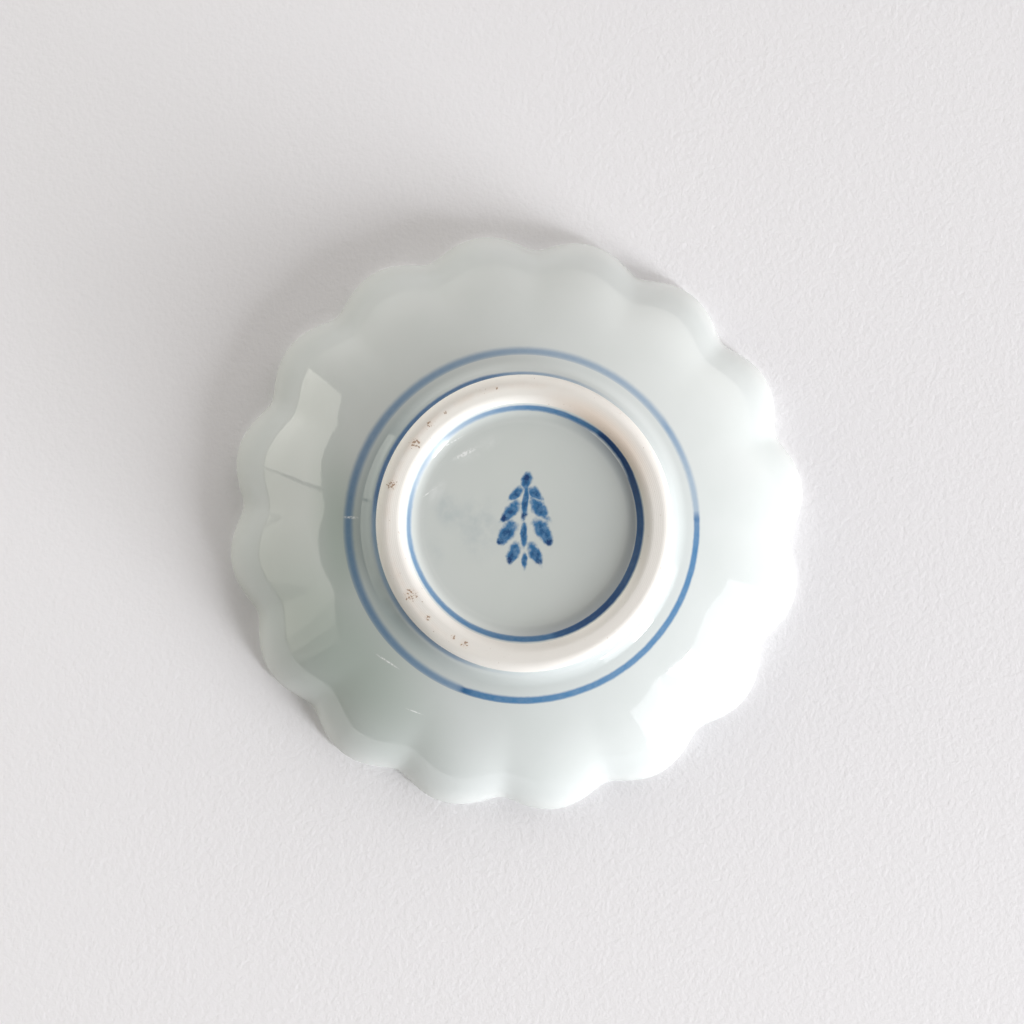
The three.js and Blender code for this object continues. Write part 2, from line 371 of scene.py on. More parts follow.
class StageSettings(PropertyGroup):
    """Paper, light and camera."""

    paper: colour("Paper", "The table's paper", (0.764, 0.753, 0.767))
    floor: colour("Floor", "Floor under the upright dish", (0.585, 0.575, 0.575))
    room: number("Room", "Brightness of the room round the table", 0.28)
    room_tone: colour("Room tone", "Colour of the room's light", (1.0, 0.968, 0.947))
    window: number("Window", "Brightness of the window", 1)
    window_tone: colour("Window tone", "Colour of the daylight", (0.957, 0.971, 1.0))
    panel: number("Panel", "Brightness of the pale panel across from the window", 1)
    panel_tone: colour("Panel tone", "Colour of the pale panel", (1.0, 0.985, 0.865))
    backdrop: number("Backdrop", "Brightness of the room as the camera sees it", 0.9)
    overhead: number("Overhead", "Brightness of the lamp over the upright dish", 4.8)
    overhead_side: mm("Overhead side", "Side of the lamp over the upright dish", 600)
    overhead_height: mm("Overhead height", "Height of the lamp over the upright dish", 900)
    paper_reach: mm("Paper reach", "Axis to the edge of the paper", 900)
    paper_tuck: mm("Paper tuck", "How far the paper reaches under the round of the rim", 0.3)
    floor_reach: mm("Floor reach", "Axis to the edge of the floor", 1500)
    floor_gap: mm("Floor gap", "Foot to the floor under the upright dish", 0.15)
    floor_fade_start: mm("Floor fade start", "Axis to where the floor starts to fade out", 250)
    floor_fade_end: mm("Floor fade end", "Axis to where the floor has faded out", 1200)
    camera_distance: mm("Camera distance", "Camera to the table", 500)
    camera_aside: mm("Camera aside", "How far the camera stands beside the dish's axis", 29.8)
    frame_width: mm("Frame width", "Width of the table in the picture", 178.2)
    sensor_side: number("Sensor side", "Side of the camera's square sensor in mm", 36)


def sizes():
    return bpy.context.scene.dish_sizes


def colours():
    return bpy.context.scene.dish_colours


def stage_settings():
    return bpy.context.scene.dish_stage


# Sections: points with their outward normals, radius across and height up


def normal_at(tilt):
    """Outward normal of a surface so far tilted from lying level and facing down."""
    return Vector((math.sin(tilt), -math.cos(tilt)))


def bend(start, radius, from_tilt, to_tilt, steps):
    """An arc: a positive radius is a round edge, and a negative one is a fillet."""
    centre = start - radius * normal_at(from_tilt)
    tilts = [from_tilt + (to_tilt - from_tilt) * step / steps for step in range(steps + 1)]
    return [(centre + radius * normal_at(tilt), normal_at(tilt)) for tilt in tilts]


def level(start, end_radius, normal, steps):
    """A level stretch from a point to another radius."""
    end = Vector((end_radius, start.y))
    return [(start.lerp(end, step / steps), normal.copy()) for step in range(steps + 1)]


def joined(*stretches):
    """Stretches one after the other, each starting where the last one ended."""
    surface = list(stretches[0])
    for stretch in stretches[1:]:
        surface += stretch[1:]
    return surface


def foot_wall(bearing_edge, side, lip_round, tilt, fillet, end_tilt, end_height):
    """A foot wall: its round bare lip, then the glazed wall with the fillet at its root."""
    lip = bend(bearing_edge, lip_round, 0, side * tilt, LIP_STEPS)
    edge, normal = lip[-1]
    room = end_height - edge.y
    turn = math.cos(end_tilt) - math.cos(tilt)
    root_fillet = min(fillet, room / turn)
    straight = room - root_fillet * turn
    straight_end = edge + Vector((side * straight / math.tan(tilt), straight))
    root = bend(straight_end, -root_fillet, side * tilt, side * end_tilt, FILLET_STEPS)
    return lip, joined([(edge, normal), (straight_end, normal.copy())], root)


def wall_surface(start, end, size, steps, inset):
    """The wall in section, from the root of the foot to the rim."""
    start_pull = Vector((math.cos(size.wall_start_tilt), math.sin(size.wall_start_tilt)))
    end_pull = Vector((math.cos(size.rim_tilt), math.sin(size.rim_tilt)))
    first = start + start_pull * size.wall_start_pull
    second = end - end_pull * size.rim_pull
    surface = []
    for step in range(steps + 1):
        t = step / steps
        s = 1 - t
        point = start * s**3 + first * 3 * s * s * t + second * 3 * s * t * t + end * t**3
        along = (first - start) * s * s + (second - first) * 2 * s * t + (end - second) * t * t
        along.normalize()
        normal = Vector((along.y, -along.x))
        surface.append((point - normal * inset, normal))
    return surface


def lengths_of(surface):
    """The distance along a surface at each of its points."""
    distances = [0.0]
    for (here, _), (there, _) in zip(surface, surface[1:]):
        distances.append(distances[-1] + (there - here).length)
    return distances


def stretch_of(surface, start, end):
    """The stretch of a surface between two distances along it."""
    distances = lengths_of(surface)
    stretch = []
    for i, ((here, here_normal), (there, there_normal)) in enumerate(zip(surface, surface[1:])):
        span = distances[i + 1] - distances[i]
        enter = max(0.0, (start - distances[i]) / span)
        leave = min(1.0, (end - distances[i]) / span)
        if enter < 1 and leave > 0:
            shares = [leave] if stretch else [enter, leave]
            for share in shares:
                normal = here_normal.lerp(there_normal, share).normalized()
                stretch.append((here.lerp(there, share), normal))
    return stretch


def inset(surface, depth):
    return [(point - normal * depth, normal) for point, normal in surface]


def thinned(surface):
    """A surface with fewer points, for a side that is hidden."""
    return surface[:-1:HIDDEN_STEP] + surface[-1:]


class DishSection:
    """The whole dish in section: bare lip, glazed surfaces, and where the lines lie on them."""

    def __init__(self, size):
        half_flat = size.bearing_width / 2
        outer_edge = Vector((size.bearing_radius + half_flat, 0))
        inner_edge = Vector((size.bearing_radius - half_flat, 0))
        self.outer_lip, outer_foot = foot_wall(
            outer_edge, 1, size.outer_lip_round, size.outer_foot_tilt, size.foot_fillet,
            size.wall_start_tilt, size.foot_height,
        )
        self.inner_lip, inner_foot = foot_wall(
            inner_edge, -1, size.inner_lip_round, size.inner_foot_tilt, size.recess_fillet,
            0, size.recess_depth,
        )
        rim_round = size.wall_thickness / 2
        wall_start = outer_foot[-1][0]
        rim_centre = Vector((size.rim_radius - rim_round, size.height - rim_round))
        wall_end = rim_centre + rim_round * normal_at(size.rim_tilt)
        outside = wall_surface(wall_start, wall_end, size, WALL_STEPS, 0)
        rim = bend(wall_end, rim_round, size.rim_tilt, math.pi + size.rim_tilt, RIM_STEPS)
        inside = wall_surface(wall_start, wall_end, size, INSIDE_STEPS, size.wall_thickness)
        inside = [(point, -normal) for point, normal in reversed(inside)]
        floor = bend(
            inside[-1][0], -size.inside_floor_round, math.pi + size.wall_start_tilt, math.pi, FLOOR_STEPS
        )
        floor_flat = level(floor[-1][0], 0, normal_at(math.pi), FLAT_STEPS)
        self.outside = joined(outer_foot, outside, rim, inside, floor, floor_flat)
        self.recess = joined(inner_foot, level(inner_foot[-1][0], 0, normal_at(0), FLAT_STEPS))
        self.root = lengths_of(outer_foot)[-1]
        self.wall_line_start = self.root + size.wall_line_rise - size.wall_line_width / 2
        self.wall_line_end = self.root + size.wall_line_rise + size.wall_line_width / 2
        self.outside_end = lengths_of(self.outside)[-1]
        self.recess_end = lengths_of(self.recess)[-1]
        lobes_from = stretch_of(self.outside, 0, self.wall_line_end)[-1][0].y
        self.lobe_start = lobes_from + size.lobe_fade_gap
        self.lobe_end = size.height - rim_round
        self.size = size

    def press_at(self, height, angle):
        """How far the wall is pressed in at this height and angle."""
        size = self.size
        rise = (height - self.lobe_start) / (self.lobe_end - self.lobe_start)
        rise = min(max(rise, 0.0), 1.0)
        wave = math.hypot(math.cos(size.lobes * angle / 2), size.notch_softness)
        crest = math.hypot(1, size.notch_softness)
        share = (wave - size.notch_softness) / (crest - size.notch_softness)
        return size.lobe_depth * rise**size.lobe_growth * (1 - share)

    def coat(self, surface, start, end):
        """The closed section of a coat of glaze over a stretch of surface."""
        stretch = stretch_of(surface, start, end)
        under = inset(thinned(stretch), self.size.glaze_thickness)
        return [p for p, _ in stretch] + [p for p, _ in reversed(under)]

    def body_cut(self, surface):
        """The porcelain under a glazed surface, below and above the foot ring's seat."""
        depth = self.size.glaze_thickness + self.size.glaze_clearance
        outline = [point for point, _ in inset(thinned(surface), depth)]
        seat = self.size.recess_depth + depth - self.size.seat_below_recess
        above = next(i for i, point in enumerate(outline) if point.y > seat)
        low, high = outline[above - 1], outline[above]
        crossing = low.lerp(high, (seat - low.y) / (high.y - low.y))
        return outline[:above], crossing, outline[above:]

    def bowl(self):
        _, outer_seat, outside = self.body_cut(self.outside)
        _, inner_seat, recess = self.body_cut(self.recess)
        return list(reversed(recess)) + [inner_seat, outer_seat] + outside

    def foot_ring(self):
        outer, outer_seat, _ = self.body_cut(self.outside)
        inner, inner_seat, _ = self.body_cut(self.recess)
        ring = [point for point, _ in self.outer_lip] + outer + [outer_seat, inner_seat]
        return ring + list(reversed(inner)) + [point for point, _ in reversed(self.inner_lip)]


def stray(place, size):
    """How the hand-made surface strays from the drawn one at a place; its base stays flat."""
    ease = min(1.0, max(0.0, place.z / size.foot_height))
    return noise.noise_vector(place / size.hand_scale) * size.hand * ease


def spun_mesh(outline, closed, lobes):
    """A mesh spun round the axis from points in section."""
    mesh = bmesh.new()
    corners = [mesh.verts.new((point.x, 0, point.y)) for point in outline]
    edges = [mesh.edges.new(pair) for pair in zip(corners, corners[1:])]
    if closed:
        edges.append(mesh.edges.new((corners[-1], corners[0])))
    bmesh.ops.spin(
        mesh, geom=corners + edges, cent=(0, 0, 0), axis=(0, 0, 1), angle=math.tau,
        steps=lobes * FACETS_PER_LOBE, use_merge=True,
    )
    bmesh.ops.remove_doubles(mesh, verts=mesh.verts, dist=MERGE_DISTANCE)
    return mesh


def press(vert, section, height):
    """Presses a point of a mesh in, as far as the wall is pressed in at a height."""
    radius = math.hypot(vert.co.x, vert.co.y)
    if radius > 0:
        pressed = radius - section.press_at(height, math.atan2(vert.co.y, vert.co.x))
        vert.co.x *= pressed / radius
        vert.co.y *= pressed / radius


def placed(mesh, name):
    """The finished mesh as an object in the scene."""
    data = bpy.data.meshes.new(name)
    mesh.to_mesh(data)
    mesh.free()
    made = bpy.data.objects.new(name, data)
    bpy.context.scene.collection.objects.link(made)
    return made


def spun_piece(name, outline, section):
    """A piece spun from its outline in section, pressed into lobes and strayed by hand."""
    closed = outline[0].x > 0 or outline[-1].x > 0
    mesh = spun_mesh(outline, closed, section.size.lobes)
    noise.seed_set(HAND_SEED)
    for vert in mesh.verts:
        press(vert, section, vert.co.z)
        vert.co += stray(vert.co, section.size)
    bmesh.ops.recalc_face_normals(mesh, faces=mesh.faces)
    for face in mesh.faces:
        face.smooth = True
    for edge in mesh.edges:
        edge.smooth = edge.calc_face_angle(0) < SHARP_EDGE
    return placed(mesh, name)


def settle(piece, finish, slot, *nodes):
    """Finishes a piece, hangs it under the root body, and hides the CAD nodes that it stands for."""
    piece.data.materials.append(finish)
    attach(piece, "root")
    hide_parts(*nodes)


def tint(rgb):
    """A colour with its alpha, as a socket takes it."""
    return (*rgb[:3], 1)


class Wire:
    """A shader socket in sums: each operator adds the Math node that it stands for."""

    def __init__(self, finish, socket):
        self.finish = finish
        self.socket = socket

    def __add__(self, other):
        return self.finish.math("ADD", self, other)

    __radd__ = __add__

    def __sub__(self, other):
        return self.finish.math("SUBTRACT", self, other)

    def __rsub__(self, other):
        return self.finish.math("SUBTRACT", other, self)

    def __mul__(self, other):
        return self.finish.math("MULTIPLY", self, other)

    __rmul__ = __mul__

    def __truediv__(self, other):
        return self.finish.math("DIVIDE", self, other)

    def __abs__(self):
        return self.finish.math("ABSOLUTE", self)


class Finish:
    """A node tree that is being wired up: a material's or the world's."""

    def __init__(self, owner):
        owner.use_nodes = True
        self.tree = owner.node_tree
        self.tree.nodes.clear()

    def node(self, kind, settings=None, sockets=None, output=0):
        """A node of a kind, with its settings first and then its sockets, as a wire."""
        made = self.tree.nodes.new(kind)
        for name, value in (settings or {}).items():
            setattr(made, name, value)
        for key, value in (sockets or {}).items():
            socket = self.socket(made.inputs, key)
            if isinstance(value, Wire):
                self.tree.links.new(value.socket, socket)
            else:
                socket.default_value = value
        return Wire(self, self.socket(made.outputs, output)) if made.outputs else None

    @staticmethod
    def socket(sockets, key):
        if isinstance(key, int):
            return sockets[key]
        return next((s for s in sockets if s.identifier == key), None) or sockets[key]

    def math(self, operation, *values):
        return self.node("ShaderNodeMath", {"operation": operation}, dict(enumerate(values)))

    def larger(self, first, second):
        return self.math("MAXIMUM", first, second)

    def ramp(self, value, start, end):
        """Rises smoothly from 0 to 1 as a value goes from start to end."""
        return self.node(
            "ShaderNodeMapRange",
            {"interpolation_type": "SMOOTHSTEP"},
            {"Value": value, "From Min": start, "From Max": end},
        )

    def fall(self, value, start, end):
        """Falls smoothly from 1 to 0 as a value goes from start to end."""
        return 1 - self.ramp(value, start, end)

    def blend(self, factor, first, second):
        """One colour going over into another."""
        first, second = (c if isinstance(c, Wire) else tint(c) for c in (first, second))
        return self.node(
            "ShaderNodeMix",
            {"data_type": "RGBA"},
            {"Factor_Float": factor, "A_Color": first, "B_Color": second},
            "Result_Color",
        )

    def position(self):
        return self.node("ShaderNodeTexCoord", output="Object")

    def dot(self, vector, direction):
        """How far a vector goes in a direction."""
        return self.node(
            "ShaderNodeVectorMath", {"operation": "DOT_PRODUCT"}, {0: vector, 1: direction}, "Value"
        )

    def place(self):
        """Millimetres to the photograph's right, down it, and up from the foot's base."""
        here = self.position()
        return [self.dot(here, way / MM) for way in (PHOTO_RIGHT, PHOTO_DOWN, PHOTO_AWAY)]

    def distance(self, right, down, middle=(0, 0)):
        """Distance in plan from a middle."""
        across, along = right - middle[0], down - middle[1]
        return self.math("SQRT", across * across + along * along)

    def turn(self, right, down):
        """Angle round the axis in degrees, clockwise in the photograph from its right."""
        return self.math("FRACT", self.math("ARCTAN2", down, right) / math.tau) * 360

    def stroke(self, turn, start, end, soft):
        """1 on the part of a turn between two angles, with soft ends."""
        rise = self.ramp(turn, start - soft, start + soft)
        fall = self.fall(turn, end - soft, end + soft)
        return self.larger(rise, fall) if start > end else rise * fall

    def underside(self):
        """1 on what faces down, and 0 on the inside of the dish."""
        normal = self.node("ShaderNodeNewGeometry", output="Normal")
        return self.ramp(self.dot(normal, -PHOTO_AWAY), 0.0, 0.2)

    def dab(self, right, down, middle, turn, length, width, taper=0.0):
        """How far out in a long dab a place lies: 0 at its middle and 1 at its edge."""
        ahead, aside = math.cos(math.radians(turn)), math.sin(math.radians(turn))
        across, along = right - middle[0], down - middle[1]
        run = (across * ahead + along * aside) / (length / 2)
        side = (along * ahead - across * aside) / (width / 2 * (1 + taper * run))
        return self.math("SQRT", run * run + side * side)

    def stations(self, turn, rows):
        """Values that change round the foot, from rows of an angle in degrees and four values."""
        tones = self.node("ShaderNodeValToRGB", sockets={0: turn / 360})
        ramp = tones.socket.node
        stops = ramp.color_ramp.elements
        ends = {0: 0, 360: -1}
        for angle, *values in rows:
            stop = stops[ends[angle]] if angle in ends else stops.new(angle / 360)
            stop.color = values
        parts = self.node("ShaderNodeSeparateColor", sockets={0: tones}).socket.node
        return [Wire(self, socket) for socket in (*parts.outputs, ramp.outputs["Alpha"])]

    def cloud(self, size_mm, detail=2.0, roughness=0.5, seed=0.0):
        """Soft noise from 0 to 1 with features of a size."""
        return self.node(
            "ShaderNodeTexNoise",
            {"noise_dimensions": "4D"},
            {
                "Vector": self.position(),
                "W": seed,
                "Scale": 1 / (size_mm * MM),
                "Detail": detail,
                "Roughness": roughness,
            },
        )

    def bump(self, height, distance_mm, strength=1.0):
        return self.node(
            "ShaderNodeBump",
            sockets={"Strength": strength, "Distance": distance_mm * MM, "Height": height},
        )

    def surface(self, **sockets):
        """The Principled shader and the output."""
        named = {key.replace("_", " ").title().replace("Ior", "IOR"): v for key, v in sockets.items()}
        shader = self.node("ShaderNodeBsdfPrincipled", sockets=named)
        self.node("ShaderNodeOutputMaterial", sockets={"Surface": shader})


def new_finish(name):
    """A new material and its wiring."""
    material = bpy.data.materials.new(name)
    return material, Finish(material)


def porcelain_finish():
    """White fired body, hidden under the glaze."""
    material, finish = new_finish("porcelain")
    paint = colours()
    mottle = finish.cloud(3, 4)
    base = finish.blend(mottle, paint.porcelain, [0.94 * c for c in paint.porcelain])
    finish.surface(
        base_color=base, roughness=0.5 + 0.1 * mottle, normal=finish.bump(finish.cloud(0.4, 3), 0.02)
    )
    return material


def bare_lip_finish():
    """Unglazed lip: fine turned rings, a warm blush and a few clusters of iron specks."""
    material, finish = new_finish("bare_lip")
    paint = colours()
    right, down, _ = finish.place()
    radius = finish.distance(right, down)
    turn = finish.turn(right, down)
    out = radius - sizes().bearing_radius / MM
    mottle = finish.cloud(2.2, 4, 0.6)
    grain = finish.cloud(0.25, 2, 0.5, 3)
    turned = finish.math("SINE", radius * 21 + 6 * finish.cloud(4, 1, seed=5))
    base = finish.blend(mottle * 0.5, paint.bare_lip, [0.92 * c for c in paint.bare_lip])

    # A patchy blush just outside the flat, and inside it a stain that is partly painted shade
    patches = finish.ramp(finish.cloud(3.4, 4, 0.65, 7), 0.3, 0.7)
    warm = finish.stroke(turn, *LIP_BLUSH) * finish.fall(abs(out - 0.6), 0.1, 1.0) * patches
    stain = 2.0 * finish.fall(out, -1.6, 1.4) * finish.stroke(turn, *LIP_STAIN_AND_SHADE)
    base = finish.blend(finish.larger(warm, stain) * 0.4 + grain * 0.08, base, paint.lip_blush_and_shade)

    # Painted light: lighter stretches of the outer edge, the inner edge and the flat, where light falls on
    # them
    painted_light = finish.ramp(out, 0.9, 1.9) * finish.stroke(turn, *PAINTED_LIGHT_OUTER_EDGE)
    painted_light = finish.larger(painted_light, finish.fall(out, -1.9, -0.7) * finish.stroke(turn, *PAINTED_LIGHT_INNER_EDGE))
    painted_light = finish.larger(painted_light, 0.75 * finish.fall(out, 0, 0.8) * finish.stroke(turn, *PAINTED_LIGHT_FLAT))
    base = finish.blend(painted_light * 0.6, base, paint.porcelain)

    # Iron specks, dense in their clusters
    near = 0.0
    for angle, distance, spread in LIP_SPECKS:
        radians = math.radians(angle)
        middle = (distance * math.cos(radians), distance * math.sin(radians))
        away = finish.distance(right, down, middle)
        near = finish.larger(near, finish.fall(away, 0.3 * spread, spread))
    base = finish.blend(near * 0.3, base, paint.lip_blush_and_shade)
    specks = finish.ramp(finish.cloud(0.4, 2, 0.5, 9) + 0.19 * near + 0.05 * warm, 0.69, 0.77)
    base = finish.blend(specks * 0.85, base, paint.lip_speck)
    finish.surface(
        base_color=base,
        roughness=0.52 + 0.12 * mottle,
        normal=finish.bump(turned * 0.2 + grain * 0.8, 0.018),
    )
    return material


def glaze_base(finish, right, down, height, usual):
    """The glaze's colour: deep where it pools round the foot, darker as painted shade on one side of the
    underside and of the root, and thin at the rim.
    """
    paint = colours()
    mottle = finish.cloud(7, 3, 0.55)
    base = finish.blend(finish.ramp(mottle, 0.35, 0.75) * 0.1, usual, paint.celadon_deep_and_shade)
    # Painted shade: broad patches on one side of the underside are darkened
    painted_shade = 0.0
    for middle, turn, length, width, strength in PAINTED_SHADE_PATCHES:
        out = finish.dab(right, down, middle, turn, length, width)
        painted_shade = finish.larger(painted_shade, strength * finish.fall(out, 0.1, 1.15))
    base = finish.blend(painted_shade * finish.underside(), base, paint.celadon_deep_and_shade)
    beyond = finish.distance(right, down) - sizes().bearing_radius / MM
    pooled = finish.ramp(beyond, 2.0, 2.7) * finish.fall(beyond, 4.2, 7.5) * finish.fall(height, 5.5, 6.2)
    # The pool round the root runs all round, and is deeper on one side as painted shade
    side = finish.stroke(finish.turn(right, down), *ROOT_SHADED_SIDE)
    base = finish.blend(pooled * (0.22 + 0.78 * side), base, paint.celadon_root_and_shade)
    below_rim = sizes().height / MM - height
    thin = 0.34 * finish.fall(below_rim, 2, 7) + 0.4 * finish.fall(below_rim, 0.2, 0.7)
    return finish.blend(thin, base, paint.celadon_thin), mottle


def scuffed(finish, right, down, scuffs):
    """Where the underside's glaze is rubbed: broken streaks."""
    worn = 0.0
    for middle, turn, length, width in scuffs:
        out = finish.dab(right, down, middle, turn, length, width)
        worn = finish.larger(worn, finish.fall(out, 0.3, 1.0))
    return worn * finish.underside() * finish.ramp(finish.cloud(0.5, 3, 0.6, 41), 0.35, 0.6)


def glaze_surface(finish, base, mottle, worn, shine=GLAZE_SHINE, roughness=GLAZE_ROUGHNESS):
    """Glossy glaze with a faint orange peel, dulled where it is rubbed."""
    peel = finish.cloud(1.7, 2, 0.5, 2)
    finish.surface(
        base_color=finish.blend(worn * 0.75, base, colours().scuff),
        roughness=roughness + 0.04 * mottle + 0.3 * worn,
        ior=GLAZE_IOR,
        specular_ior_level=shine,
        normal=finish.bump(peel, 0.01),
    )


def celadon_finish():
    """Celadon on the wall, the inside and the root of the foot."""
    material, finish = new_finish("celadon_glaze")
    right, down, height = finish.place()
    base, mottle = glaze_base(finish, right, down, height, colours().celadon)
    glaze_surface(finish, base, mottle, scuffed(finish, right, down, WALL_SCUFFS))
    return material


def recess_finish():
    """Celadon in the recess, pooled at its edge, with a small sprig painted under it."""
    material, finish = new_finish("recess_glaze")
    paint = colours()
    right, down, height = finish.place()
    base, mottle = glaze_base(finish, right, down, height, paint.recess)

    # The edge: pooled, with a thin ring inside it; painted shade darkens the recess towards one side, and
    # most along the edge on that side
    inwards = RECESS_EDGE - finish.distance(right, down)
    pooled = finish.fall(inwards, 0, 1.1)
    thin = finish.ramp(inwards, 1.5, 2.2) * finish.fall(inwards, 2.2, 2.8)
    base = finish.blend(pooled * 0.3, base, paint.celadon_deep_and_shade)
    base = finish.blend(thin * 0.18, base, paint.celadon_thin)
    # Painted shade: the lip's shadow on the recess, in a darker colour
    side = finish.stroke(finish.turn(right, down), *RECESS_SHADED_SIDE)
    painted_recess_shade = 0.16 * finish.ramp(right, -2, 18)
    base = finish.blend(painted_recess_shade + 0.75 * side * finish.fall(inwards, 0, 3), base, paint.recess_shade)

    patchy = finish.ramp(finish.cloud(2.6, 4, 0.6, 35), 0.3, 0.7)
    for middle, turn, length, width, strength in RECESS_STAINS:
        out = finish.dab(right, down, middle, turn, length, width)
        cover = abs(strength) * patchy * finish.fall(out, 0.2, 1.0)
        base = finish.blend(cover, base, paint.stain if strength > 0 else paint.scuff)

    # The sprig: a wash in each dab of the brush, darker inside it and in the blots
    blot = (finish.cloud(1.3, 3, 0.55, 31) - 0.5) * 1.1
    pull = finish.cloud(0.8, 3, 0.6, 32)
    wash = dark = 0.0
    for middle, turn, length, width, taper in SPRIG_DABS:
        out = finish.dab(right, down, middle, turn, length, width, taper) + blot
        wash = finish.larger(wash, finish.fall(out, 0.6, 1.15))
        dark = finish.larger(dark, finish.fall(out, 0.1, 0.9))
    for middle in SPRIG_BLOTS:
        full = finish.fall(finish.distance(right, down, middle) + 0.6 * blot, 0.2, 1.0)
        dark = finish.larger(dark, full * 1.6 * wash)
    base = finish.blend(wash * (0.72 + 0.5 * pull), base, paint.cobalt)
    base = finish.blend(dark * finish.ramp(pull, 0.25, 0.7) * 0.85, base, paint.cobalt_dark)
    glaze_surface(finish, base, mottle, scuffed(finish, right, down, RECESS_SCUFFS))
    return material


def line_finish(name, across, rows, shine, roughness):
    """A line of cobalt on the glaze, brushed on with a changing hand; the rows of the foot's lines also
    paint light and shade into it.
    """
    material, finish = new_finish(name)
    paint = colours()
    right, down, height = finish.place()
    base, mottle = glaze_base(finish, right, down, height, paint.celadon)
    strength, depth, half_width, edge = finish.stations(finish.turn(right, down), rows)
    pull = finish.cloud(1.1, 3, 0.6, 12)
    sway = (finish.cloud(9, 2, 0.5, 11) - 0.5) * 0.15
    away = abs(across(finish, right, down, height) + sway) + (pull - 0.5) * 0.25
    body = finish.fall(away, half_width - edge, half_width + edge)
    base = finish.blend(body * strength * (0.86 + 0.28 * pull), base, paint.cobalt)
    base = finish.blend(body * depth * (0.8 + 0.4 * pull), base, paint.cobalt_dark)
    glaze_surface(finish, base, mottle, scuffed(finish, right, down, WALL_SCUFFS), shine, roughness)
    return material


class DISH_OT_bowl(Operator):
    """Makes the porcelain bowl that carries the glaze"""

    bl_idname = "dish.bowl"
    bl_label = "Porcelain bowl"

    def execute(self, context):
        section = DishSection(sizes())
        bowl = spun_piece("porcelain_bowl", section.bowl(), section)
        settle(bowl, porcelain_finish(), "porcelain", "bowl")
        return {"FINISHED"}


class DISH_OT_foot_ring(Operator):
    """Makes the foot ring with its bare, rounded lip"""

    bl_idname = "dish.foot_ring"
    bl_label = "Foot ring"

    def execute(self, context):
        section = DishSection(sizes())
        ring = spun_piece("bare_foot_ring", section.foot_ring(), section)
        settle(ring, bare_lip_finish(), "bare_lip", "foot_ring")
        return {"FINISHED"}


class DISH_OT_glaze(Operator):
    """Makes the coats of celadon glaze on the wall, the foot and the recess"""

    bl_idname = "dish.glaze"
    bl_label = "Celadon coats"

    def execute(self, context):
        size = sizes()
        section = DishSection(size)
        celadon = celadon_finish()
        wall = section.coat(section.outside, section.wall_line_end, section.outside_end)
        settle(spun_piece("wall_coat", wall, section), celadon, "celadon_glaze", "wall_glaze")
        foot = section.coat(section.outside, size.outer_line_width, section.wall_line_start)
        settle(spun_piece("foot_coat", foot, section), celadon, "celadon_glaze", "foot_glaze")
        recess = section.coat(section.recess, size.inner_line_width, section.recess_end)
        settle(spun_piece("recess_coat", recess, section), recess_finish(), "celadon_glaze", "recess_glaze")
        return {"FINISHED"}


class DISH_OT_lines(Operator):
    """Makes the three cobalt lines that were banded on the turning dish"""

    bl_idname = "dish.lines"
    bl_label = "Cobalt lines"

    def execute(self, context):
        size = sizes()
        section = DishSection(size)
        middle = stretch_of(section.outside, 0, section.root + size.wall_line_rise)[-1][0]
        wall_radius = middle.x / MM
        outer_middle = (section.outer_lip[-1][0].y + size.outer_line_rise) / MM
        inner_middle = (section.inner_lip[-1][0].y + size.inner_line_rise) / MM

        def from_wall_line(finish, right, down, height):
            return finish.distance(right, down, WALL_LINE_MIDDLE) - wall_radius

        def from_outer_line(finish, right, down, height):
            return height - outer_middle

        def from_inner_line(finish, right, down, height):
            low = finish.stroke(finish.turn(right, down), *INNER_LINE_DIP)
            return height - inner_middle + size.inner_line_dip / MM * low

        wall = section.coat(section.outside, section.wall_line_start, section.wall_line_end)
        outer = section.coat(section.outside, 0, size.outer_line_width)
        inner = section.coat(section.recess, 0, size.inner_line_width)
        wall_paint = line_finish("wall_line", from_wall_line, WALL_LINE, GLAZE_SHINE, GLAZE_ROUGHNESS)
        outer_paint = line_finish(
            "outer_line", from_outer_line, OUTER_LINE_WITH_PAINTED_LIGHT, OUTER_LINE_SHINE, GLAZE_ROUGHNESS
        )
        inner_paint = line_finish(
            "inner_line", from_inner_line, INNER_LINE_WITH_PAINTED_LIGHT, INNER_LINE_SHINE, INNER_LINE_ROUGHNESS
        )
        for name, outline, paint, node in (
            ("wall_line_band", wall, wall_paint, "wall_line"),
            ("outer_line_band", outer, outer_paint, "foot_outer_line"),
            ("inner_line_band", inner, inner_paint, "foot_inner_line"),
        ):
            settle(spun_piece(name, outline, section), paint, "cobalt_line", node)
        return {"FINISHED"}


def one_sided(name, base, roughness, normal_from=None, fade=None):
    """A stage surface that shows only from the side that it faces."""
    material, finish = new_finish(name)
    sockets = {"Base Color": base(finish) if callable(base) else tint(base), "Roughness": roughness}
    if normal_from:
        sockets["Normal"] = normal_from(finish)
    shader = finish.node("ShaderNodeBsdfPrincipled", sockets=sockets)
    clear = finish.node("ShaderNodeBsdfTransparent")
    behind = finish.node("ShaderNodeNewGeometry", output="Backfacing")
    if fade:
        behind = finish.larger(behind, fade(finish))
    mixed = finish.node("ShaderNodeMixShader", sockets={0: behind, 1: shader, 2: clear})
    finish.node("ShaderNodeOutputMaterial", sockets={"Surface": mixed})
    return material


